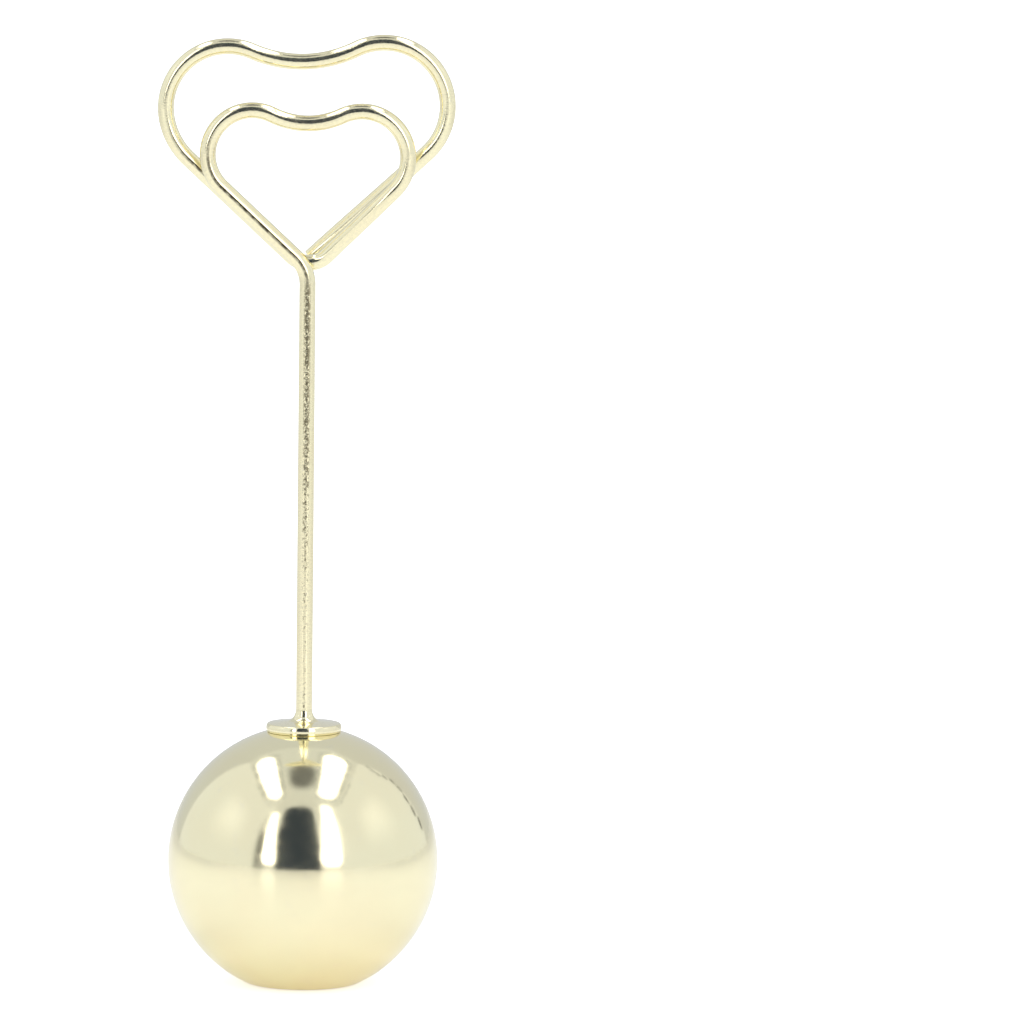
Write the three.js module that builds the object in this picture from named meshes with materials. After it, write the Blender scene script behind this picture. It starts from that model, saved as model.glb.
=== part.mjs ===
// A table number holder: a weighted ball on a flat foot, a screw-in collar, and one bent wire that rises as
// a stem and winds into two hearts, one behind the other, to grip a card between them.
// Millimetres, +Z up. The origin is the centre of the resting face, +X is to the right of someone who
// faces the hearts, and +Y points away from them.
import * as THREE from "three";

// Ball and foot
const ballRadius = 12.5;
const ballCentreZ = 11.5;
const footZ = 0.1; // the pad stands this far proud of the metal foot
const footEdgeRadius = 1.5;
const footEdgeParts = 4;
const lowerBallParts = 9;
const upperBallParts = 11;
const ballSegments = 64;

// Foot pad, glued into a shallow recess
const padRadius = 4.0;
const padEdge = 0.08;
const padRecessRadius = 4.2;
const padRecessDepth = 0.5;
const padGap = 0.05;

// Screw joint between the collar and the ball: an M4 thread, drawn as a plain spigot in a plain hole
const spigotRadius = 2.0;
const spigotLength = 3.5;
const spigotChamfer = 0.3;
const holeRadius = 2.1;
const holeDepth = 4.5;
const drillPointDepth = 0.9;
const holeChamfer = 0.25;

// Collar: a low flange that flares up into the stem
const rimRadius = 3.5;
const seatRadius = 3.45;
const seatGap = 0.05;
const rimLowerEdge = 0.12;
const rimUpperZ = 0.42; // heights in this block are above the collar's underside
const rimUpperRadius = 0.36;
const rimUpperTurn = 80; // degrees
const rimUpperParts = 6;
const crownInnerRadius = 1.65;
const crownInnerZ = 0.93;
const flareTopRadius = 0.86;
const flareTopZ = 2.05;
const flareParts = 6;
const collarBoreRadius = 0.8;
const collarBoreDepth = 2.9; // below the underside
const collarSegments = 48;

// Wire
const wireRadius = 0.75;
const wireEndGap = 0.1;
const wireSides = 16;
const arcStepDegrees = 7.5;

// Stem and front heart, as the bends the wire takes on its way up: straight lengths and arcs, with a left
// turn positive for someone who faces the hearts
const stemTopZ = 65;
const stemBend = { radius: 3.5, turn: 47 };
const frontLeftLeg = 9.35;
const frontLeftLobe = { radius: 4.1, turn: -163 };
const frontDip = { radius: 7.4, turn: 51.5 };
const frontRightLobe = { radius: 4.25, turn: -160.5 };
const frontRightLeg = 8.8;

// The tight bend at the bottom of the heart carries the wire behind its own stem. The back heart's piece
// starts halfway round it, where the wire runs level and can twist.
const turnbackRadius = 2.2;
const turnbackFront = { radius: turnbackRadius, turn: -45 };
const turnbackBack = { radius: turnbackRadius, turn: -43 };
const twistGap = 0.1;

// Back heart
const backLeftLeg = 13.1;
const backLeftFlank = { radius: 6.7, turn: -34 };
const backLeftLobe = { radius: 5.7, turn: -126 };
const backDip = { radius: 11.4, turn: 49.5 };
const backRightLobe = { radius: 5.85, turn: -163.5 };
const backRightLeg = 14.6;

// Depths, along +Y from the stem's axis
const backHeartY = 1.8;
const freeEndY = 4.2;
const frontRampLength = 10.5;
const freeEndRampLength = 14.6;
const rampParts = 10;

const gold = { color: 0xe9dcae, roughness: 0.1, metalness: 1 };
const goldWire = { color: 0xeadfb6, roughness: 0.16, metalness: 1 };
const padFoam = { color: 0x2b2926, roughness: 0.95, metalness: 0 };

function namedMesh(name, geometry, look) {
  const mesh = new THREE.Mesh(geometry, new THREE.MeshStandardMaterial(look));
  mesh.name = name;
  return mesh;
}

// Points on an arc of the (radius, height) half-plane, ends included; angles in degrees from outwards
function arcPoints(centreR, centreZ, radius, fromDegrees, toDegrees, parts) {
  const points = [];
  for (let i = 0; i <= parts; i += 1) {
    const angle = THREE.MathUtils.degToRad(fromDegrees + ((toDegrees - fromDegrees) * i) / parts);
    points.push([centreR + radius * Math.cos(angle), centreZ + radius * Math.sin(angle)]);
  }
  return points;
}

// Turns a closed [radius, height] outline, which starts and ends on the axis, about the upright axis
function turned(outline, segments) {
  const points = outline.map(([r, z]) => new THREE.Vector2(r, z));
  const geometry = new THREE.LatheGeometry(points, segments);
  return geometry.rotateX(Math.PI / 2);
}

const seatZ = ballCentreZ + Math.sqrt(ballRadius ** 2 - seatRadius ** 2);

function ballBase() {
  // the foot's rounded edge touches both the flat foot and the ball
  const edgeCentreZ = footZ + footEdgeRadius;
  const edgeCentreR = Math.sqrt((ballRadius - footEdgeRadius) ** 2 - (ballCentreZ - edgeCentreZ) ** 2);
  const footAngle = THREE.MathUtils.radToDeg(Math.atan2(edgeCentreZ - ballCentreZ, edgeCentreR));
  const seatAngle = THREE.MathUtils.radToDeg(Math.atan2(seatZ - ballCentreZ, seatRadius));
  const outline = [
    [0, footZ + padRecessDepth],
    [padRecessRadius, footZ + padRecessDepth],
    [padRecessRadius, footZ],
    ...arcPoints(edgeCentreR, edgeCentreZ, footEdgeRadius, -90, footAngle, footEdgeParts),
    ...arcPoints(0, ballCentreZ, ballRadius, footAngle, 0, lowerBallParts).slice(1),
    ...arcPoints(0, ballCentreZ, ballRadius, 0, seatAngle, upperBallParts).slice(1),
    [holeRadius + holeChamfer, seatZ],
    [holeRadius, seatZ - holeChamfer],
    [holeRadius, seatZ - holeDepth],
    [0, seatZ - holeDepth - drillPointDepth],
  ];
  return namedMesh("ball_base", turned(outline, ballSegments), gold);
}

function footPad() {
  const topZ = footZ + padRecessDepth - padGap;
  const outline = [
    [0, 0],
    [padRadius - padEdge, 0],
    [padRadius, padEdge],
    [padRadius, topZ],
    [0, topZ],
  ];
  return namedMesh("foot_pad", turned(outline, collarSegments), padFoam);
}

const collarZ = seatZ + seatGap;

function threadedCollar() {
  // the flare is a quarter arc that leaves the crown level and reaches the stem upright
  const flareWidth = crownInnerRadius - flareTopRadius;
  const flareHeight = flareTopZ - crownInnerZ;
  const flare = arcPoints(0, 0, 1, 270, 180, flareParts).map(([across, up]) => [
    crownInnerRadius + flareWidth * across,
    flareTopZ + flareHeight * up,
  ]);
  const outline = [
    [0, -spigotLength],
    [spigotRadius - spigotChamfer, -spigotLength],
    [spigotRadius, -spigotLength + spigotChamfer],
    [spigotRadius, 0],
    [rimRadius - rimLowerEdge, 0],
    [rimRadius, rimLowerEdge],
    ...arcPoints(rimRadius - rimUpperRadius, rimUpperZ, rimUpperRadius, 0, rimUpperTurn, rimUpperParts),
    ...flare,
    [collarBoreRadius, flareTopZ],
    [collarBoreRadius, -collarBoreDepth],
    [0, -collarBoreDepth],
  ];
  const collar = namedMesh("threaded_collar", turned(outline, collarSegments), gold);
  collar.position.z = collarZ;
  return collar;
}

// A place along the wire, seen from the front: heading in degrees anticlockwise from +X, run in mm so far
function station(x, z, heading, run) {
  return { x, z, heading, run };
}

function goStraight(from, length, parts) {
  const angle = THREE.MathUtils.degToRad(from.heading);
  const stations = [];
  for (let i = 1; i <= parts; i += 1) {
    const along = (length * i) / parts;
    const x = from.x + along * Math.cos(angle);
    const z = from.z + along * Math.sin(angle);
    stations.push(station(x, z, from.heading, from.run + along));
  }
  return stations;
}

// Stations at even headings, so that the arc's outermost points, such as a lobe's top, are among them
function goRound(from, { radius, turn }) {
  const side = Math.sign(turn);
  const start = THREE.MathUtils.degToRad(from.heading);
  const centreX = from.x - side * radius * Math.sin(start);
  const centreZ = from.z + side * radius * Math.cos(start);
  const headings = [];
  let next = arcStepDegrees * (Math.floor((side * from.heading) / arcStepDegrees) + 1);
  while (next < side * (from.heading + turn)) {
    headings.push(side * next);
    next += arcStepDegrees;
  }
  headings.push(from.heading + turn);
  return headings.map((heading) => {
    const angle = THREE.MathUtils.degToRad(heading);
    const x = centreX + side * radius * Math.sin(angle);
    const z = centreZ - side * radius * Math.cos(angle);
    return station(x, z, heading, from.run + radius * Math.abs(angle - start));
  });
}

function bendWire(start, moves) {
  const stations = [start];
  for (const move of moves) {
    const last = stations[stations.length - 1];
    stations.push(...(move.radius ? goRound(last, move) : goStraight(last, move.length, move.parts)));
  }
  return stations;
}

// A curve that gives one station for each step of an extrusion, square to the wire there
class WireCurve extends THREE.Curve {
  constructor(stations, depthAt) {
    super();
    this.stations = stations;
    this.depthAt = depthAt;
  }

  stationAt(u) {
    return this.stations[Math.round(u * (this.stations.length - 1))];
  }

  getPointAt(u) {
    const { x, z, run } = this.stationAt(u);
    return new THREE.Vector3(x, this.depthAt(run), z);
  }

  getTangentAt(u) {
    const { heading, run } = this.stationAt(u);
    const nudge = 0.01; // mm either side
    const angle = THREE.MathUtils.degToRad(heading);
    const slope = (this.depthAt(run + nudge) - this.depthAt(run - nudge)) / (2 * nudge);
    return new THREE.Vector3(Math.cos(angle), slope, Math.sin(angle)).normalize();
  }
}

function wireMesh(name, stations, depthAt) {
  const section = new THREE.Shape().absarc(0, 0, wireRadius, 0, 2 * Math.PI);
  const geometry = new THREE.ExtrudeGeometry(section, {
    steps: stations.length - 1,
    curveSegments: wireSides / 2,
    extrudePath: new WireCurve(stations, depthAt),
  });
  return namedMesh(name, geometry, goldWire);
}

function frontStations() {
  const bottomZ = collarZ - collarBoreDepth + wireEndGap;
  return bendWire(station(0, bottomZ, 90, 0), [
    { length: stemTopZ - bottomZ, parts: 1 },
    stemBend,
    { length: frontLeftLeg, parts: 1 },
    frontLeftLobe,
    frontDip,
    frontRightLobe,
    { length: frontRightLeg, parts: rampParts },
    turnbackFront,
  ]);
}

function stemAndFrontHeart() {
  const stations = frontStations();
  const end = stations[stations.length - 1].run;
  const depthAt = (run) => backHeartY * THREE.MathUtils.smoothstep(run, end - frontRampLength, end);
  return wireMesh("stem_and_front_heart", stations, depthAt);
}

function backHeart() {
  const meeting = frontStations().pop();
  const start = station(meeting.x - twistGap, meeting.z, meeting.heading, 0);
  const stations = bendWire(start, [
    turnbackBack,
    { length: backLeftLeg, parts: 1 },
    backLeftFlank,
    backLeftLobe,
    backDip,
    backRightLobe,
    { length: backRightLeg, parts: rampParts },
  ]);
  const end = stations[stations.length - 1].run;
  const further = freeEndY - backHeartY;
  const depthAt = (run) => {
    return backHeartY + further * THREE.MathUtils.smoothstep(run, end - freeEndRampLength, end);
  };
  return wireMesh("back_heart", stations, depthAt);
}

const holder = new THREE.Group();
holder.add(ballBase(), footPad(), threadedCollar(), stemAndFrontHeart(), backHeart());

export default holder;
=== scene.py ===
# The looks of a table number holder: a polished ball in pale gold, a screw-in collar, and one bent wire that
# rises as a stem and winds into two hearts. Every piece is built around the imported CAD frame.
# Lengths are in metres; values written as a number times MM are millimetres.
import math

import bpy
from mathutils import Euler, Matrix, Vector, noise

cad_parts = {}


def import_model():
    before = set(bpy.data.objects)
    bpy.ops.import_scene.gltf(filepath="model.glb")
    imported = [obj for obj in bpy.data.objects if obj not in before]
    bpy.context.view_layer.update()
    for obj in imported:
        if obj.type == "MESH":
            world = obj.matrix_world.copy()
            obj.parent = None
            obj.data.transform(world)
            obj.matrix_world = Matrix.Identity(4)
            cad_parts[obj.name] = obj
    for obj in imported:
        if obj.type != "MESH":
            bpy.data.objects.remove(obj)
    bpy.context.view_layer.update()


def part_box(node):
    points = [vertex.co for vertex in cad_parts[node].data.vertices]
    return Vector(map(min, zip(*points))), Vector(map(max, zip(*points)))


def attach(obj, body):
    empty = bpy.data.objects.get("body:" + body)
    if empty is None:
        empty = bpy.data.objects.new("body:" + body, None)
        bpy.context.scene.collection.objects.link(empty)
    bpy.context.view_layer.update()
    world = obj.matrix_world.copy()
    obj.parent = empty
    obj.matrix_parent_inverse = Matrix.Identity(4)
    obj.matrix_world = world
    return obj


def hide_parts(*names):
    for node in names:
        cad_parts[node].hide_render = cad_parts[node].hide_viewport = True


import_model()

MM = 0.001

# ---------------------------------------------------------------- places, from the frame
ball_low, ball_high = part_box("ball_base")
pad_low, pad_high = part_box("foot_pad")
collar_low, collar_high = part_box("threaded_collar")
stem_low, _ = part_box("stem_and_front_heart")

BALL_RADIUS = (ball_high.x - ball_low.x) / 2
SEAT_RADIUS = 3.45 * MM
SEAT_Z = ball_high.z
BALL_CENTRE_Z = SEAT_Z - math.sqrt(BALL_RADIUS**2 - SEAT_RADIUS**2)
FOOT_Z = ball_low.z
RIM_RADIUS = (collar_high.x - collar_low.x) / 2
SPIGOT_LENGTH = 3.5 * MM
COLLAR_Z = collar_low.z + SPIGOT_LENGTH
WIRE_BOTTOM_Z = stem_low.z
WIRE_RADIUS = 0.75 * MM


# ---------------------------------------------------------------- meshes
def piece_from(name, points, faces, material, body, replaced):
    """Makes a smooth-shaded piece that rides on a body, stands for a CAD node and has a material slot."""
    mesh = bpy.data.meshes.new(name)
    mesh.from_pydata(points, [], faces)
    mesh.validate()
    mesh.shade_smooth()
    mesh.set_sharp_from_angle(angle=math.radians(35))
    mesh.materials.append(material)
    piece = bpy.data.objects.new(name, mesh)
    bpy.context.scene.collection.objects.link(piece)
    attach(piece, body)
    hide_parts(replaced)


def skin(rings):
    """Quads between rings of equally many points. A ring of one point closes the skin to a tip."""
    points = [point for ring in rings for point in ring]
    faces = []
    start = 0
    for ring, following in zip(rings, rings[1:]):
        after = start + len(ring)
        count = max(len(ring), len(following))
        for i in range(count):
            j = (i + 1) % count
            if len(ring) == 1:
                faces.append((start, after + j, after + i))
            elif len(following) == 1:
                faces.append((start + i, start + j, after))
            else:
                faces.append((start + i, start + j, after + j, after + i))
        start = after
    return points, faces


def turned(outline, sides, radius_change=None):
    """Turns an outline of (radius, height), which starts and ends on the axis, about the upright axis."""
    rings = []
    for radius, height in outline:
        if radius == 0:
            rings.append([(0, 0, height)])
            continue
        ring = []
        for i in range(sides):
            angle = 2 * math.pi * i / sides
            r = radius if radius_change is None else radius_change(radius, height, angle)
            ring.append((r * math.cos(angle), r * math.sin(angle), height))
        rings.append(ring)
    return skin(rings)


def arc(centre_r, centre_z, radius, start, end, parts):
    """Points of an arc in the (radius, height) half-plane, ends included, angles in degrees from outwards."""
    points = []
    for i in range(parts + 1):
        angle = math.radians(start + (end - start) * i / parts)
        points.append((centre_r + radius * math.cos(angle), centre_z + radius * math.sin(angle)))
    return points


def run_of(start, end, parts):
    """Points on a straight line of the outline, without its first point."""
    (r0, z0), (r1, z1) = start, end
    return [(r0 + (r1 - r0) * i / parts, z0 + (z1 - z0) * i / parts) for i in range(1, parts + 1)]


def smoothstep(value, low, high):
    t = min(max((value - low) / (high - low), 0), 1)
    return t * t * (3 - 2 * t)


# ---------------------------------------------------------------- material helpers
def add(tree, kind, settings=None, **inputs):
    """A node with its settings, and with its inputs linked or set. Underscores in input names are spaces."""
    made = tree.nodes.new(kind)
    for key, value in (settings or {}).items():
        setattr(made, key, value)
    for key, value in inputs.items():
        socket = made.inputs[key.replace("_", " ")]
        if isinstance(value, bpy.types.NodeSocket):
            tree.links.new(value, socket)
        else:
            socket.default_value = value
    return made


def new_material(name):
    material = bpy.data.materials.new(name)
    material.use_nodes = True
    tree = material.node_tree
    return material, tree, tree.nodes["Principled BSDF"]


def millimetres(tree, stretch=(1, 1, 1)):
    """Where a point is on the piece, in millimetres, so that noise scales read as features per millimetre."""
    coordinates = add(tree, "ShaderNodeTexCoord")
    mapping = add(tree, "ShaderNodeMapping", Vector=coordinates.outputs["Object"])
    mapping.inputs["Scale"].default_value = [axis / MM for axis in stretch]
    return mapping.outputs["Vector"]


def noise_at(tree, place, per_mm, detail=2.0, roughness=0.5, distortion=0.0):
    made = add(tree, "ShaderNodeTexNoise", None, Vector=place, Scale=per_mm, Detail=detail,
               Roughness=roughness, Distortion=distortion)
    return made.outputs["Fac"]


def rescaled(tree, value, low, high, new_low, new_high):
    made = add(tree, "ShaderNodeMapRange", {"interpolation_type": "SMOOTHSTEP"}, Value=value,
               From_Min=low, From_Max=high, To_Min=new_low, To_Max=new_high)
    return made.outputs["Result"]


def calculated(tree, operation, first, second, third=None):
    """The result of a math node, whose inputs are sockets or numbers."""
    made = add(tree, "ShaderNodeMath", {"operation": operation})
    for socket, value in zip(made.inputs, (first, second, third)):
        if isinstance(value, bpy.types.NodeSocket):
            tree.links.new(value, socket)
        elif value is not None:
            socket.default_value = value
    return made.outputs["Value"]


def blended(tree, factor, first, second):
    made = add(tree, "ShaderNodeMix", {"data_type": "RGBA"})
    for socket, value in ((made.inputs[0], factor), (made.inputs[6], first), (made.inputs[7], second)):
        if isinstance(value, bpy.types.NodeSocket):
            tree.links.new(value, socket)
        elif isinstance(value, (int, float)):
            socket.default_value = value
        else:
            socket.default_value = (*value, 1)
    return made.outputs[2]


def bumped(tree, height, depth, normal=None):
    made = add(tree, "ShaderNodeBump", None, Height=height, Distance=depth, Strength=1.0)
    if normal is not None:
        tree.links.new(normal, made.inputs["Normal"])
    return made.outputs["Normal"]


# ---------------------------------------------------------------- gold plating
GOLD = (0.955, 0.884, 0.592)
GOLD_WARM = (0.950, 0.862, 0.570)
GOLD_WORN = (0.860, 0.800, 0.610)
# partly pitted plating, partly painted shade in the pits and a painted reflection of the dark door
PIT_AND_REFLECTION_BROWN = (0.250, 0.218, 0.132)
# a painted reflection: the brown of a dark line on the hearts' left legs
REFLECTION_LINE_BROWN = (0.100, 0.082, 0.052)
DRIFT_PER_MM = 0.12
RIPPLE_PER_MM = 0.45
WORN_ROUGHNESS = 0.16  # added where the plating is worn
HAIRLINE_STRETCHES = [(0.25, 6, 6), (6, 0.3, 4)]  # hairlines run along the axis with the small number
HAIRLINE_DEPTH = 0.01e-6


def gold_plating(name, roughness, ripple, grain, grain_per_mm, worn_share, worn_per_mm,
                 haze=0.0, grain_stretch=(1, 1, 1), grain_by_height=None, marks=()):
    """Bright plating: a slow drift of colour, ripples of the polish, fine grain, hairlines and dull patches.

    ripple and grain are bump depths in metres, and haze is the share of light that the grain scatters.
    grain_by_height gives the depth of the grain from a tree. marks are pairs of a function, which gives a
    mark's share from a tree, and the mark's colour.
    """
    material, tree, shader = new_material(name)
    place = millimetres(tree)
    drift = rescaled(tree, noise_at(tree, place, DRIFT_PER_MM, 3), 0.35, 0.65, 0, 1)
    colour = blended(tree, drift, GOLD, GOLD_WARM)
    dull = rescaled(tree, noise_at(tree, place, worn_per_mm, 6, 0.7, 0.6), 0.55, 0.75, 0, worn_share)
    colour = blended(tree, dull, colour, GOLD_WORN)
    for mark, mark_colour in marks:
        colour = blended(tree, mark(tree), colour, mark_colour)
    tree.links.new(colour, shader.inputs["Base Color"])
    slow = noise_at(tree, place, 0.9, 3, 0.5)
    rough = rescaled(tree, slow, 0.3, 0.7, roughness * 0.85, roughness * 1.25)
    tree.links.new(calculated(tree, "MULTIPLY_ADD", dull, WORN_ROUGHNESS, rough), shader.inputs["Roughness"])
    normal = bumped(tree, noise_at(tree, place, RIPPLE_PER_MM, 1.5), ripple)
    if grain_by_height is not None:
        grain = grain_by_height(tree)
    grains = noise_at(tree, millimetres(tree, grain_stretch), grain_per_mm, 3, 0.6)
    tree.links.new(rescaled(tree, grains, 0.4, 0.6, 1, 1 - haze), shader.inputs["Metallic"])
    normal = bumped(tree, grains, grain, normal)
    for stretch in HAIRLINE_STRETCHES:
        scratch = rescaled(tree, noise_at(tree, millimetres(tree, stretch), 1, 2), 0.60, 0.66, 0, 1)
        normal = bumped(tree, scratch, HAIRLINE_DEPTH, normal)
    tree.links.new(normal, shader.inputs["Normal"])
    return material


GRAIN_LOW_Z = 26 * MM
GRAIN_HIGH_Z = 60 * MM
STEM_GRAIN_LOW = 8e-6  # bump depths in metres
STEM_GRAIN_HIGH = 28e-6
HEART_GRAIN = 7e-6
HEARTS_FROM_Z = 63.5 * MM
HEARTS_FULL_Z = 65 * MM


def wire_grain(tree):
    """The depth of the wire's grain: it grows up the stem and is small on the hearts."""
    place = add(tree, "ShaderNodeTexCoord").outputs["Object"]
    height = add(tree, "ShaderNodeSeparateXYZ", None, Vector=place).outputs["Z"]
    stem = rescaled(tree, height, GRAIN_LOW_Z, GRAIN_HIGH_Z, STEM_GRAIN_LOW, STEM_GRAIN_HIGH)
    hearts = rescaled(tree, height, HEARTS_FROM_Z, HEARTS_FULL_Z, 0, 1)
    made = add(tree, "ShaderNodeMix", {"data_type": "FLOAT"})
    tree.links.new(hearts, made.inputs[0])
    tree.links.new(stem, made.inputs[2])
    made.inputs[3].default_value = HEART_GRAIN
    return made.outputs[0]


PITS_FROM_Z = 24 * MM
PITS_DENSE_Z = 62 * MM
PITS_FADE_Z = 64 * MM
PITS_END_Z = 66.5 * MM
PITS_PER_MM = 6.0
PIT_EDGE = 6  # how sharply a pit begins
STRIP_THIN_Z = 28 * MM  # the strip widens from here
STRIP_WIDE_Z = 36 * MM  # to here
ROW_FULL_Z = 27 * MM  # the row above the collar is at its densest up to here
ROW_END_Z = 31 * MM
ROW_PITS = 0.11


def pits_and_painted_reflection(tree):
    """Brown pits down the front of the stem: a dense strip at the top, fewer further down, and a short thin
    row of them just above the collar. The brown is partly pitted plating and partly painted shade in the pits
    and a painted reflection of the dark door, which falls on the side that faces the front."""
    coordinates = add(tree, "ShaderNodeTexCoord").outputs
    facing = add(tree, "ShaderNodeSeparateXYZ", None, Vector=coordinates["Normal"]).outputs["Y"]
    height = add(tree, "ShaderNodeSeparateXYZ", None, Vector=coordinates["Object"]).outputs["Z"]
    # facing is -1 where the wire faces the front
    edge = rescaled(tree, height, STRIP_THIN_Z, STRIP_WIDE_Z, -0.97, -0.85)
    strip = rescaled(tree, facing, -0.995, edge, 1, 0)
    strip = calculated(tree, "MULTIPLY", strip, rescaled(tree, height, PITS_FADE_Z, PITS_END_Z, 1, 0))
    pitted = rescaled(tree, height, PITS_FROM_Z, PITS_DENSE_Z, 0.33, 0.56)
    row = rescaled(tree, height, ROW_FULL_Z, ROW_END_Z, ROW_PITS, 0)
    pitted = calculated(tree, "ADD", pitted, row)
    pits = noise_at(tree, millimetres(tree, (1, 1, 0.7)), PITS_PER_MM, 3, 0.6)
    depth = calculated(tree, "MULTIPLY_ADD", calculated(tree, "SUBTRACT", pitted, pits), PIT_EDGE, 0.5)
    depth = calculated(tree, "MINIMUM", calculated(tree, "MAXIMUM", depth, 0), 1)
    return calculated(tree, "MULTIPLY", strip, depth)


# where the painted reflection of the dark door lies on the hearts' left legs
LINE_FROM_Z = 64 * MM
LINE_FULL_Z = 66.5 * MM
LINE_FADE_Z = 74 * MM
LINE_END_Z = 81 * MM
LINE_SIDE = (-0.3 * MM, 0.9 * MM)  # it fades from left to right between these


def painted_reflection_line(tree):
    """A thin dark line painted on the front of the wire, on the hearts' left legs:
    a painted reflection of the dark door.
    """
    coordinates = add(tree, "ShaderNodeTexCoord").outputs
    facing = add(tree, "ShaderNodeSeparateXYZ", None, Vector=coordinates["Normal"]).outputs["Y"]
    place = add(tree, "ShaderNodeSeparateXYZ", None, Vector=coordinates["Object"]).outputs
    line = rescaled(tree, facing, -0.999, -0.968, 1, 0)
    line = calculated(tree, "MULTIPLY", line, rescaled(tree, place["X"], *LINE_SIDE, 1, 0))
    line = calculated(tree, "MULTIPLY", line, rescaled(tree, place["Z"], LINE_FROM_Z, LINE_FULL_Z, 0, 1))
    line = calculated(tree, "MULTIPLY", line, rescaled(tree, place["Z"], LINE_FADE_Z, LINE_END_Z, 1, 0))
    waver = rescaled(tree, noise_at(tree, millimetres(tree), 2.5, 3, 0.6), 0.35, 0.6, 0.45, 1)
    return calculated(tree, "MULTIPLY", line, waver)


def foam():
    material, tree, shader = new_material("foot_pad_foam")
    place = millimetres(tree)
    cells = add(tree, "ShaderNodeTexVoronoi", None, Vector=place, Scale=7.0, Randomness=1.0)
    pore = rescaled(tree, cells.outputs["Distance"], 0.1, 0.6, 0, 1)
    drift = noise_at(tree, place, 0.8, 3)
    colour = blended(tree, drift, (0.020, 0.019, 0.018), (0.045, 0.042, 0.040))
    # painted shade: the hollow of each cell is painted darker
    colour = blended(tree, pore, (0.010, 0.010, 0.010), colour)
    tree.links.new(colour, shader.inputs["Base Color"])
    tree.links.new(rescaled(tree, drift, 0.3, 0.7, 0.85, 0.98), shader.inputs["Roughness"])
    tree.links.new(bumped(tree, pore, 0.03 * MM), shader.inputs["Normal"])
    return material


# ---------------------------------------------------------------- ball
FOOT_EDGE_RADIUS = 1.5 * MM
RECESS_RADIUS = 4.2 * MM
RECESS_DEPTH = 0.5 * MM
RECESS_EDGE = 0.06 * MM
HOLE_CREST = 2.03 * MM
HOLE_ROOT = 2.28 * MM
HOLE_LIP = 0.02 * MM
HOLE_CHAMFER = 0.3 * MM
HOLE_DEPTH = 4.5 * MM
DRILL_POINT = 0.9 * MM
SEAT_EDGE = 0.05 * MM
THREAD_PITCH = 0.7 * MM
THREAD_ROW = THREAD_PITCH / 16
CREST_FLAT = 0.12  # shares of the way from crest to root
ROOT_FLAT = 0.9


def thread_share(height, angle):
    """0 at the crest of a right-hand thread and 1 at its root, with narrow flats at both."""
    turns = height / THREAD_PITCH - angle / (2 * math.pi)
    from_crest = abs(2 * (turns - math.floor(turns)) - 1)
    return min(max((from_crest - CREST_FLAT) / (ROOT_FLAT - CREST_FLAT), 0), 1)


def weighted_ball(material):
    edge_z = FOOT_Z + FOOT_EDGE_RADIUS
    edge_r = math.sqrt((BALL_RADIUS - FOOT_EDGE_RADIUS) ** 2 - (BALL_CENTRE_Z - edge_z) ** 2)
    foot_angle = math.degrees(math.atan2(edge_z - BALL_CENTRE_Z, edge_r))
    seat_angle = math.degrees(math.atan2(SEAT_Z - BALL_CENTRE_Z, SEAT_RADIUS))
    recess_top = FOOT_Z + RECESS_DEPTH
    hole_bottom = SEAT_Z - HOLE_DEPTH
    thread_top = SEAT_Z - HOLE_CHAMFER
    thread_rows = round((thread_top - hole_bottom) / THREAD_ROW)
    mouth = HOLE_ROOT + HOLE_LIP
    outline = [
        (0, recess_top),
        (RECESS_RADIUS / 2, recess_top),
        (RECESS_RADIUS, recess_top),
        (RECESS_RADIUS, FOOT_Z + RECESS_EDGE),
        (RECESS_RADIUS + RECESS_EDGE, FOOT_Z),
        *run_of((RECESS_RADIUS + RECESS_EDGE, FOOT_Z), (edge_r, FOOT_Z), 6),
        *arc(edge_r, edge_z, FOOT_EDGE_RADIUS, -90, foot_angle, 20)[1:],
        *arc(0, BALL_CENTRE_Z, BALL_RADIUS, foot_angle, seat_angle, 130)[1:],
        (SEAT_RADIUS - SEAT_EDGE, SEAT_Z),
        (mouth, SEAT_Z),
        (HOLE_CREST, thread_top),
        *run_of((HOLE_CREST, thread_top), (HOLE_CREST, hole_bottom), thread_rows),
        (0, hole_bottom - DRILL_POINT),
    ]

    def threaded(radius, height, angle):
        if radius != HOLE_CREST or height >= thread_top or height <= hole_bottom:
            return radius
        return HOLE_CREST + (HOLE_ROOT - HOLE_CREST) * (1 - thread_share(height, angle))

    points, faces = turned(outline, 224, threaded)
    piece_from("weighted_ball", points, faces, material, "base", "ball_base")


# ---------------------------------------------------------------- foot pad
PAD_RADIUS = (pad_high.x - pad_low.x) / 2
PAD_EDGE = 0.12 * MM
PAD_WOBBLE = 0.05 * MM


def foam_pad(material):
    top = pad_high.z
    outline = [
        (0, pad_low.z),
        *run_of((0, pad_low.z), (PAD_RADIUS - PAD_EDGE, pad_low.z), 10),
        *arc(PAD_RADIUS - PAD_EDGE, pad_low.z + PAD_EDGE, PAD_EDGE, -90, 0, 5)[1:],
        *run_of((PAD_RADIUS, pad_low.z + PAD_EDGE), (PAD_RADIUS, top), 4),
        (0, top),
    ]

    def punched(radius, height, angle):
        """The rim of a punched foam disc is never quite round."""
        share = smoothstep(radius, PAD_RADIUS * 0.8, PAD_RADIUS)
        place = Vector((math.cos(angle), math.sin(angle), height / MM)) * 6
        return radius - PAD_WOBBLE * share * (0.5 + 0.5 * noise.noise(place))

    points, faces = turned(outline, 160, punched)
    piece_from("foam_foot_pad", points, faces, material, "base", "foot_pad")


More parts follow.
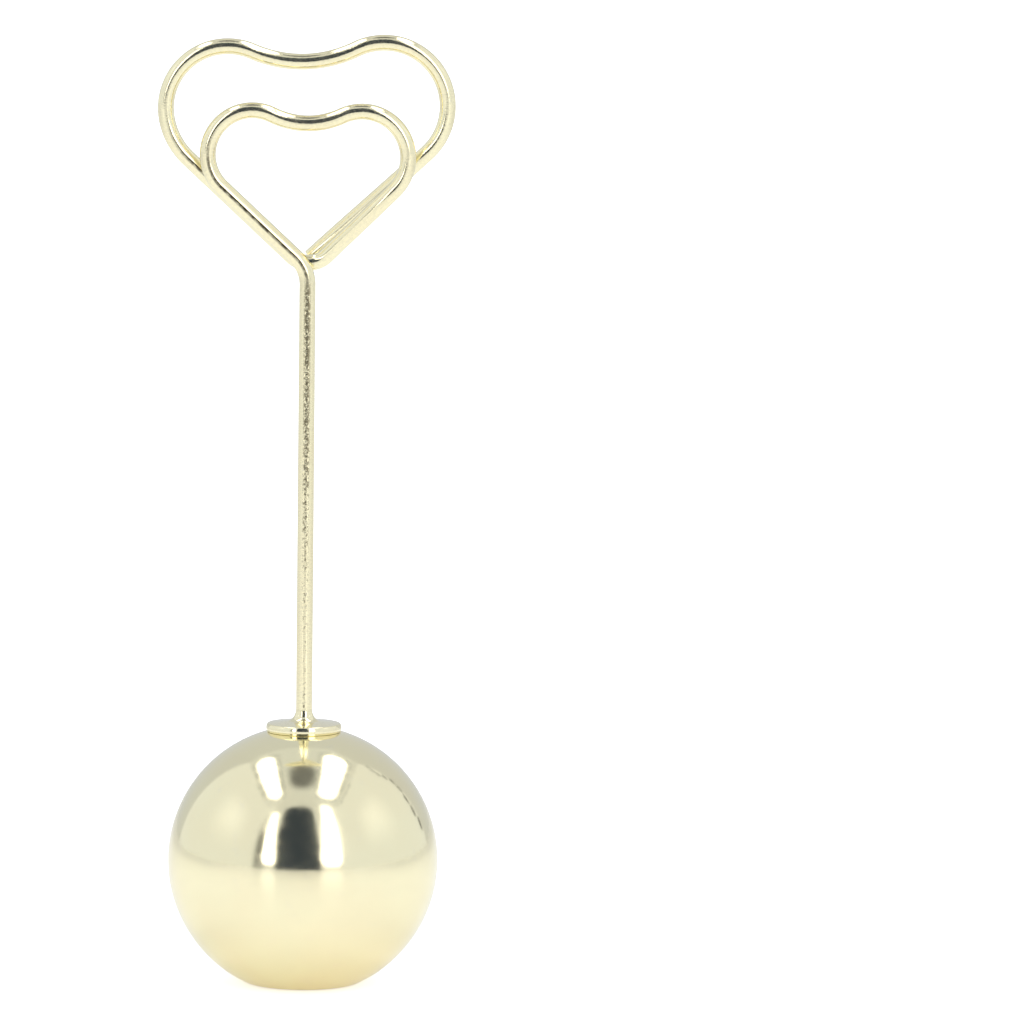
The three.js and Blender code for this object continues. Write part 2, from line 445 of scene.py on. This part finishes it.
# ---------------------------------------------------------------- collar
RIM_LOWER_ROUND = 0.10 * MM
RIM_BULGE = 0.69 * MM  # the side's gentle outward curve
RIM_BULGE_Z = 0.33 * MM
RIM_BULGE_TURN = 31  # degrees, where the tighter corner takes over
RIM_CORNER = 0.15 * MM
RIM_CORNER_TURN = 80
UNDERSIDE = -0.04 * MM  # heights in this block are above the CAD collar's underside
CROWN_RADIUS = 1.65 * MM
CROWN_Z = 0.93 * MM
FLARE_TOP_Z = 2.05 * MM
SOLDER_GAP = 0.006 * MM
BORE_DEPTH = 2.9 * MM
SPIGOT_RADIUS = 2.0 * MM
SPIGOT_ROOT = 1.60 * MM
SPIGOT_CHAMFER = 0.35 * MM
SPIGOT_RELIEF = 0.35 * MM


def screw_collar(material):
    bore = WIRE_RADIUS + SOLDER_GAP
    flare = [
        (CROWN_RADIUS + (CROWN_RADIUS - bore) * across, FLARE_TOP_Z + (FLARE_TOP_Z - CROWN_Z) * up)
        for across, up in arc(0, 0, 1, 270, 180, 18)
    ]
    bulge_start = -math.degrees(math.asin((RIM_BULGE_Z - RIM_LOWER_ROUND - UNDERSIDE) / RIM_BULGE))
    side = arc(RIM_RADIUS - RIM_BULGE, RIM_BULGE_Z, RIM_BULGE, bulge_start, RIM_BULGE_TURN, 16)
    corner_r, corner_z = side[-1]
    turn = math.radians(RIM_BULGE_TURN)
    corner_r -= RIM_CORNER * math.cos(turn)
    corner_z -= RIM_CORNER * math.sin(turn)
    corner = arc(corner_r, corner_z, RIM_CORNER, RIM_BULGE_TURN, RIM_CORNER_TURN, 10)
    lip_r = side[0][0] - RIM_LOWER_ROUND
    lip = arc(lip_r, UNDERSIDE + RIM_LOWER_ROUND, RIM_LOWER_ROUND, -90, 0, 6)
    spigot_top = -SPIGOT_RELIEF
    outline = [
        (0, -SPIGOT_LENGTH),
        (SPIGOT_ROOT / 2, -SPIGOT_LENGTH),
        (SPIGOT_RADIUS - SPIGOT_CHAMFER, -SPIGOT_LENGTH),
        *run_of((SPIGOT_RADIUS, -SPIGOT_LENGTH), (SPIGOT_RADIUS, spigot_top),
                round((SPIGOT_LENGTH - SPIGOT_RELIEF) / THREAD_ROW)),
        (SPIGOT_ROOT, spigot_top + THREAD_ROW / 2),
        (SPIGOT_ROOT, UNDERSIDE),
        *lip[:-1],
        *side,
        *corner[1:],
        *run_of(corner[-1], flare[0], 8)[:-1],
        *flare,
        (bore, -BORE_DEPTH),
        (0, -BORE_DEPTH),
    ]
    outline = [(r, z + COLLAR_Z) for r, z in outline]

    def threaded(radius, height, angle):
        above_end = height - COLLAR_Z + SPIGOT_LENGTH
        if radius != SPIGOT_RADIUS:
            return radius
        cut = SPIGOT_RADIUS - (SPIGOT_RADIUS - SPIGOT_ROOT) * thread_share(height, angle)
        chamfer = SPIGOT_RADIUS - SPIGOT_CHAMFER + above_end
        return min(cut, max(chamfer, SPIGOT_ROOT))

    points, faces = turned(outline, 160, threaded)
    piece_from("screw_collar", points, faces, material, "collar", "threaded_collar")


# ---------------------------------------------------------------- wire
# The bends the wire takes, in millimetres and degrees: straight lengths as (length,) and bends as
# (radius, turn), with a left turn positive for someone who faces the hearts.
STEM_TOP_Z = 65 * MM
FRONT_BENDS = [(3.5, 47), (9.35,), (4.1, -163), (7.4, 51.5), (4.25, -160.5), (8.8,), (2.2, -45)]
BACK_BENDS = [(2.2, -43), (13.1,), (6.7, -34), (5.7, -126), (11.4, 49.5), (5.85, -163.5), (14.6,)]
SPLIT_GAP = 0.1 * MM
BACK_HEART_Y = 1.8 * MM
FREE_END_Y = 4.2 * MM
FRONT_RAMP = 10.5 * MM
FREE_END_RAMP = 14.6 * MM
WIRE_SIDES = 56
WIRE_STEP = 0.5 * MM
BEND_STEP = 2.0  # degrees
CUT_EDGE = 0.07 * MM


def bend(x, z, heading, moves):
    """Places (x, z, heading in degrees, run) along the wire."""
    run = 0
    places = [(x, z, heading, run)]
    for move in moves:
        if len(move) == 1:
            length = move[0] * MM
            parts = math.ceil(length / WIRE_STEP)
            ahead = math.radians(heading)
            for i in range(1, parts + 1):
                along = length * i / parts
                new_x = x + along * math.cos(ahead)
                new_z = z + along * math.sin(ahead)
                places.append((new_x, new_z, heading, run + along))
            x, z, heading, run = places[-1]
            continue
        radius, turn = move[0] * MM, move[1]
        side = math.copysign(1, turn)
        start = math.radians(heading)
        centre_x = x - side * radius * math.sin(start)
        centre_z = z + side * radius * math.cos(start)
        parts = math.ceil(abs(turn) / BEND_STEP)
        for i in range(1, parts + 1):
            now = start + math.radians(turn) * i / parts
            new_x = centre_x + side * radius * math.sin(now)
            new_z = centre_z - side * radius * math.cos(now)
            places.append((new_x, new_z, math.degrees(now), run + radius * abs(now - start)))
        x, z, heading, run = places[-1]
    return places


def wire_skin(places, depth_at, cut_end=False):
    """A round wire along the places, with flat ends, or with the softened edge of a cut at its far end."""
    nudge = 0.01 * MM
    rings = []

    def ring_at(x, z, heading, run, radius, ahead=0.0):
        angle = math.radians(heading)
        slope = (depth_at(run + nudge) - depth_at(run - nudge)) / (2 * nudge)
        tangent = Vector((math.cos(angle), slope, math.sin(angle))).normalized()
        left = Vector((-math.sin(angle), 0, math.cos(angle)))
        across = tangent.cross(left)
        centre = Vector((x, depth_at(run), z)) + tangent * ahead
        ring = []
        for i in range(WIRE_SIDES):
            turn = 2 * math.pi * i / WIRE_SIDES
            ring.append(centre + (left * math.cos(turn) + across * math.sin(turn)) * radius)
        return ring, centre

    first, centre = ring_at(*places[0], WIRE_RADIUS)
    rings.append([centre])
    rings.append(first)
    for place in places[1:-1]:
        rings.append(ring_at(*place, WIRE_RADIUS)[0])
    if cut_end:
        for share in (0.0, 0.35, 0.7, 1.0):
            shrink = CUT_EDGE * (1 - math.sqrt(1 - share**2))
            rings.append(ring_at(*places[-1], WIRE_RADIUS - shrink, (share - 1) * CUT_EDGE)[0])
    else:
        rings.append(ring_at(*places[-1], WIRE_RADIUS)[0])
    rings.append([ring_at(*places[-1], WIRE_RADIUS)[1]])
    return skin(rings)


def front_places():
    stem = ((STEM_TOP_Z - WIRE_BOTTOM_Z) / MM,)
    return bend(0, WIRE_BOTTOM_Z, 90, [stem, *FRONT_BENDS])


def stem_and_front_heart(material):
    places = front_places()
    end = places[-1][3]
    # the last place moves on to the middle of the gap that the CAD leaves at the twist
    x, z, heading, run = places[-1]
    places.append((x - SPLIT_GAP / 2, z, heading, run + SPLIT_GAP / 2))

    def depth_at(run):
        return BACK_HEART_Y * smoothstep(run, end - FRONT_RAMP, end)

    points, faces = wire_skin(places, depth_at)
    piece_from("stem_and_front_heart_wire", points, faces, material, "stem",
               "stem_and_front_heart")


def back_heart(material):
    x, z, heading, _ = front_places()[-1]
    places = bend(x - SPLIT_GAP, z, heading, BACK_BENDS)
    end = places[-1][3]
    places.insert(0, (x - SPLIT_GAP / 2, z, heading, -SPLIT_GAP / 2))

    def depth_at(run):
        return BACK_HEART_Y + (FREE_END_Y - BACK_HEART_Y) * smoothstep(run, end - FREE_END_RAMP, end)

    points, faces = wire_skin(places, depth_at, cut_end=True)
    piece_from("back_heart_wire", points, faces, material, "back_loop", "back_heart")


# ---------------------------------------------------------------- studio
# A white light tent round the holder, open at the front, with two front windows and two ceiling strips.
# Its cards are seen only in reflections. Card places are shares of the tent's half width, from its middle.
TENT_HALF = 4.0
SIDES = ((-1, "left"), (1, "right"))
CEILING = 1.66
BELOW_TABLE = -0.3
CLOTH_LIGHT = 0.74
WALL_LIGHT = 0.88
BACK_LIGHT = 0.66
CAP_LIGHT = 0.18
WINDOW_LIGHT = 2.6
STRIP_LIGHT = 3.0
SHADE_LIGHT = 0.20
DOOR_LIGHT = 0.055
SEAM_LIGHT = 0.05
SEAM_FOLDS = 9
SEAM_STEP = 0.14
SEAM_START = 0.12
SEAM_X = 0.98
STRIP_FRONT = -0.81
STRIP_REAR = 0.82
CHEEK_EDGE = 0.7  # the front wall's inner edges
JUST_INSIDE = 0.99  # cards on the walls stand a little inside them
RUMPLE_LIGHT = 0.25
RUMPLES = 6  # on each side
RUMPLE_START = -0.80
RUMPLE_STEP = 0.13
RUMPLE_X = 0.985
GLOW_LIGHT = 1.05
FRAME_LIGHT = 0.48
FRAME_EDGE = 0.14  # how far a strip's frame reaches past it
CLOTH_TINT = (0.955, 1.0, 1.07)
DOOR_TINT = (0.80, 1.03, 1.50)
WINDOW_TINT = (1.0, 1.0, 1.02)


def card(name, outline, brightness, softness=0.0, tint=CLOTH_TINT):
    """A flat glowing card. Its edge fades out over a share of the way to its middle."""
    corners = [Vector(corner) * TENT_HALF for corner in outline]
    middle = sum(corners, Vector()) / len(corners)
    count = len(corners)
    mesh = bpy.data.meshes.new(name)
    mesh.from_pydata([middle, *corners], [], [(0, 1 + i, 1 + (i + 1) % count) for i in range(count)])
    inset = mesh.attributes.new("inset", "FLOAT", "POINT")
    inset.data[0].value = 1
    material = bpy.data.materials.new(name)
    material.use_nodes = True
    tree = material.node_tree
    tree.nodes.clear()
    glow = add(tree, "ShaderNodeEmission", None, Color=(*tint, 1), Strength=brightness)
    surface = glow.outputs["Emission"]
    if softness > 0:
        depth = add(tree, "ShaderNodeAttribute", {"attribute_name": "inset"})
        shown = rescaled(tree, depth.outputs["Fac"], 0, softness, 0, 1)
        clear = add(tree, "ShaderNodeBsdfTransparent")
        fade = add(tree, "ShaderNodeMixShader", None, Fac=shown)
        tree.links.new(clear.outputs["BSDF"], fade.inputs[1])
        tree.links.new(surface, fade.inputs[2])
        surface = fade.outputs["Shader"]
    output = add(tree, "ShaderNodeOutputMaterial")
    tree.links.new(surface, output.inputs["Surface"])
    mesh.materials.append(material)
    made = bpy.data.objects.new(name, mesh)
    made.visible_camera = False
    bpy.context.scene.collection.objects.link(made)


def rounded(u0, u1, v0, v1, corner, parts=6):
    """The outline of a rectangle with round corners, as (u, v)."""
    points = []
    turns = [(u1, v1, 0), (u0, v1, 90), (u0, v0, 180), (u1, v0, 270)]
    for u, v, start in turns:
        centre_u = u - math.copysign(corner, u - (u0 + u1) / 2)
        centre_v = v - math.copysign(corner, v - (v0 + v1) / 2)
        for i in range(parts + 1):
            angle = math.radians(start + 90 * i / parts)
            points.append((centre_u + corner * math.cos(angle), centre_v + corner * math.sin(angle)))
    return points


def front_card(name, foot, head, low, high, corner, distance, brightness, softness, tint):
    """A card across the front, from one height to another, with its left and right edge at foot and head."""
    outline = []
    for u, v in rounded(*foot, low, high, corner):
        across = (u - foot[0]) / (foot[1] - foot[0])
        up = (v - low) / (high - low)
        lean = (head[0] - foot[0]) * (1 - across) + (head[1] - foot[1]) * across
        outline.append((u + lean * up, -distance, v))
    card(name, outline, brightness, softness, tint)


def ceiling_card(name, x0, x1, y0, y1, corner, height, brightness, softness, tint):
    outline = [(x, y, height) for x, y in rounded(x0, x1, y0, y1, corner)]
    card(name, outline, brightness, softness, tint)


def upright(u0, u1):
    """The outline of a rectangle from below the table to the ceiling, as (u, height)."""
    return [(u0, BELOW_TABLE), (u1, BELOW_TABLE), (u1, CEILING), (u0, CEILING)]


def light_tent():
    # left and right edge at the foot, the same at the head, low and high end, corner radius, distance
    door = ((-0.49, 0.34), (-0.46, 0.23), BELOW_TABLE, 1.50, 0.26, 1.0)
    shade = ((-1.06, -0.62), (-0.96, -0.52), -0.60, 1.35, 0.15, 0.995)
    left_window = ((-0.71, -0.41), (-0.735, -0.55), 0.055, 1.27, 0.10, 0.99)
    right_window = ((0.25, 0.68), (0.42, 0.72), 0.03, 1.60, 0.14, 0.99)
    front_card("door", *door, DOOR_LIGHT, 0.20, DOOR_TINT)
    front_card("left_shade", *shade, SHADE_LIGHT, 1.0, CLOTH_TINT)
    front_card("left_window", *left_window, WINDOW_LIGHT, 0.05, WINDOW_TINT)
    front_card("right_window", *right_window, WINDOW_LIGHT, 0.05, WINDOW_TINT)
    for side, label in SIDES:
        wall = [(side, y, z) for y, z in upright(-1.05, 1)]
        card(label + "_wall", wall, WALL_LIGHT)
        glow = [(side * JUST_INSIDE, y, z) for y, z in rounded(-0.75, 0.35, 0.15, 1.15, 0.4)]
        card(label + "_glow", glow, GLOW_LIGHT, 1.0)
        cheek = [(side * x, -1.01, z) for x, z in upright(1, CHEEK_EDGE)]
        card(label + "_cheek", cheek, WALL_LIGHT)
    for label, near, far in (("left", -0.875, -0.49), ("right", 0.335, 0.80)):
        strip = (near, far, STRIP_FRONT, STRIP_REAR)
        border = (near - FRAME_EDGE, far + FRAME_EDGE, STRIP_FRONT - FRAME_EDGE, STRIP_REAR + FRAME_EDGE)
        ceiling_card(label + "_frame", *border, 0.22, CEILING + 0.01, FRAME_LIGHT, 0.35, CLOTH_TINT)
        ceiling_card(label + "_strip", *strip, 0.2, CEILING, STRIP_LIGHT, 0.07, WINDOW_TINT)
    ceiling_card("camera_blot", -0.36, 0.32, -0.66, 0.36, 0.33, CEILING, CAP_LIGHT, 0.5, CLOTH_TINT)
    card("back", [(x, 1, z) for x, z in upright(-1, 1)], BACK_LIGHT)
    for side, label in SIDES:
        for i in range(RUMPLES):
            # the cloth is rumpled where the walls meet the ceiling
            near = RUMPLE_START + RUMPLE_STEP * i
            low = CEILING - 0.07 - 0.02 * math.sin(4.0 * i + side)
            rumple = [(near, low), (near + 0.15, low + 0.02), (near + 0.16, CEILING), (near, CEILING)]
            card(f"{label}_rumple_{i}", [(RUMPLE_X * side, y, z) for y, z in rumple], RUMPLE_LIGHT, 0.9)
    for i in range(SEAM_FOLDS):
        # a dark, crumpled seam in the right rear corner
        low = SEAM_START + SEAM_STEP * i
        near = 0.83 + 0.06 * math.sin(5.0 * i)
        corners = [(0, 0), (0.11, -0.02), (0.15, 0.15), (0.02, 0.13)]
        fold = [(SEAM_X, near + y, low + z) for y, z in corners]
        card(f"right_seam_{i}", fold, SEAM_LIGHT * (1 + i), 0.6)


FLOOR_HALF = 9.0
FLOOR_GLOW = 0.14
FLOOR_GLOW_SEEN = 0.55
FLOOR_SHEEN_IOR = 1.24
FLOOR_SHEEN_SHARE = 0.30
FLOOR_SHEEN_ROUGHNESS = 0.14
FLOOR_NEAR = 0.04  # metres, where the sheet starts to lose light
FLOOR_FAR = 0.30  # where it has lost all the light it loses
FLOOR_FAR_SHARE = 0.76
FOOT_GLOW = 0.10  # the ball's own golden light, next to it
FOOT_GLOW_START = 0.004
FOOT_GLOW_REACH = 0.020
FOOT_GLOW_TINT = (1.0, 0.82, 0.52)


def sheet_light(tree):
    """How well the sheet is lit at a place: less with distance, most of all to the sides and to the rear."""
    place = add(tree, "ShaderNodeTexCoord").outputs["Object"]
    away = add(tree, "ShaderNodeVectorMath", {"operation": "LENGTH"})
    tree.links.new(place, away.inputs[0])
    away = away.outputs["Value"]
    rearward = add(tree, "ShaderNodeSeparateXYZ", None, Vector=place).outputs["Y"]
    turned_away = rescaled(tree, calculated(tree, "DIVIDE", rearward, away), -0.75, 0.1, 0.3, 1)
    far = rescaled(tree, away, FLOOR_NEAR, FLOOR_FAR, 0, 1 - FLOOR_FAR_SHARE)
    lit = calculated(tree, "SUBTRACT", 1, calculated(tree, "MULTIPLY", far, turned_away))
    return lit, away


def floor():
    """A pale matt sheet, lit a little from below so that it photographs as white. In reflections it shows
    its uneven light, a sheen at low angles and the ball's golden light next to the foot."""
    mesh = bpy.data.meshes.new("floor")
    h = FLOOR_HALF
    mesh.from_pydata([(-h, -h, 0), (h, -h, 0), (h, h, 0), (-h, h, 0)], [], [(0, 1, 2, 3)])
    material, tree, shader = new_material("floor_sheet")
    seen = add(tree, "ShaderNodeLightPath").outputs["Is Camera Ray"]
    lit, away = sheet_light(tree)
    light = calculated(tree, "MAXIMUM", lit, seen)
    paper = noise_at(tree, millimetres(tree), 0.05, 4)
    paper = rescaled(tree, paper, 0.3, 0.7, 0.90, 0.92)
    tree.links.new(calculated(tree, "MULTIPLY", paper, light), shader.inputs["Base Color"])
    shader.inputs["Roughness"].default_value = 0.8
    shader.inputs["Specular IOR Level"].default_value = 0
    golden = rescaled(tree, away, FOOT_GLOW_START, FOOT_GLOW_REACH, FOOT_GLOW, 0)
    golden = calculated(tree, "MULTIPLY", golden, calculated(tree, "SUBTRACT", 1, seen))
    glow = rescaled(tree, seen, 0, 1, FLOOR_GLOW, FLOOR_GLOW_SEEN)
    glow = calculated(tree, "MULTIPLY_ADD", glow, light, golden)
    warm = calculated(tree, "DIVIDE", golden, FOOT_GLOW + FLOOR_GLOW)
    tree.links.new(blended(tree, warm, (1, 1, 1), FOOT_GLOW_TINT), shader.inputs["Emission Color"])
    tree.links.new(glow, shader.inputs["Emission Strength"])
    sheen = add(tree, "ShaderNodeBsdfGlossy", None, Color=(1, 1, 1, 1),
                Roughness=FLOOR_SHEEN_ROUGHNESS)
    grazing = add(tree, "ShaderNodeFresnel", None, IOR=FLOOR_SHEEN_IOR).outputs["Fac"]
    share = calculated(tree, "MULTIPLY", grazing, FLOOR_SHEEN_SHARE)
    share = calculated(tree, "MULTIPLY", share, calculated(tree, "SUBTRACT", 1, seen))
    both = add(tree, "ShaderNodeMixShader", None, Fac=share)
    tree.links.new(shader.outputs["BSDF"], both.inputs[1])
    tree.links.new(sheen.outputs["BSDF"], both.inputs[2])
    tree.links.new(both.outputs["Shader"], tree.nodes["Material Output"].inputs["Surface"])
    mesh.materials.append(material)
    made = bpy.data.objects.new("floor", mesh)
    bpy.context.scene.collection.objects.link(made)


SEEN_WHITE = 1.1


def world():
    """White behind the camera's view, and the tent's cloth for everything that looks past the cards."""
    sky = bpy.data.worlds.new("tent_cloth")
    bpy.context.scene.world = sky
    sky.use_nodes = True
    tree = sky.node_tree
    tree.nodes.clear()
    path = add(tree, "ShaderNodeLightPath")
    cloth = add(tree, "ShaderNodeBackground", None, Color=(*CLOTH_TINT, 1), Strength=CLOTH_LIGHT)
    white = add(tree, "ShaderNodeBackground", None, Color=(1, 1, 1, 1), Strength=SEEN_WHITE)
    either = add(tree, "ShaderNodeMixShader", None, Fac=path.outputs["Is Camera Ray"])
    tree.links.new(cloth.outputs["Background"], either.inputs[1])
    tree.links.new(white.outputs["Background"], either.inputs[2])
    output = add(tree, "ShaderNodeOutputWorld")
    tree.links.new(either.outputs["Shader"], output.inputs["Surface"])


# ---------------------------------------------------------------- camera
CAMERA_DISTANCE = 0.85
CAMERA_ELEVATION = 8.7  # degrees, at the ball's centre
CAMERA_PITCH = 6.514
CAMERA_PAN = 1.2985
CAMERA_ROLL = 0.615
CAMERA_LENS = 322.1  # on a 36 mm sensor


def camera():
    data = bpy.data.cameras.new("camera")
    data.sensor_width = 36
    data.lens = CAMERA_LENS
    data.clip_start = 0.05
    data.clip_end = 30
    made = bpy.data.objects.new("camera", data)
    bpy.context.scene.collection.objects.link(made)
    elevation = math.radians(CAMERA_ELEVATION)
    made.location = (0, -CAMERA_DISTANCE * math.cos(elevation),
                     BALL_CENTRE_Z + CAMERA_DISTANCE * math.sin(elevation))
    aim = Euler((math.radians(90 - CAMERA_PITCH), 0, -math.radians(CAMERA_PAN)), "XYZ").to_matrix()
    roll = Euler((0, 0, math.radians(CAMERA_ROLL)), "XYZ").to_matrix()
    made.rotation_euler = (aim @ roll).to_euler()
    bpy.context.scene.camera = made


# ---------------------------------------------------------------- the scene
polished = gold_plating("gold_polished", roughness=0.11, ripple=8e-6, grain=0.10e-6, grain_per_mm=6,
                        worn_share=0.3, worn_per_mm=0.5)
collar_plating = gold_plating("gold_collar_plating", roughness=0.09, ripple=2e-6, grain=3.0e-6,
                              grain_per_mm=3.5, worn_share=0.6, worn_per_mm=1.5, haze=0.05)
# its marks: pits with painted shade and painted reflection on the stem, a painted reflection line on the
# hearts
wire_plating = gold_plating("gold_wire_plating", roughness=0.10, ripple=3e-6, grain=None, grain_per_mm=3.6,
                            worn_share=0.6, worn_per_mm=1.8, haze=0.07, grain_stretch=(1, 1, 1.6),
                            grain_by_height=wire_grain,
                            marks=[(pits_and_painted_reflection, PIT_AND_REFLECTION_BROWN), (painted_reflection_line, REFLECTION_LINE_BROWN)])

weighted_ball(polished)
foam_pad(foam())
screw_collar(collar_plating)
stem_and_front_heart(wire_plating)
back_heart(wire_plating)
light_tent()
floor()
world()
camera()
bpy.context.scene.view_settings.view_transform = "Standard"
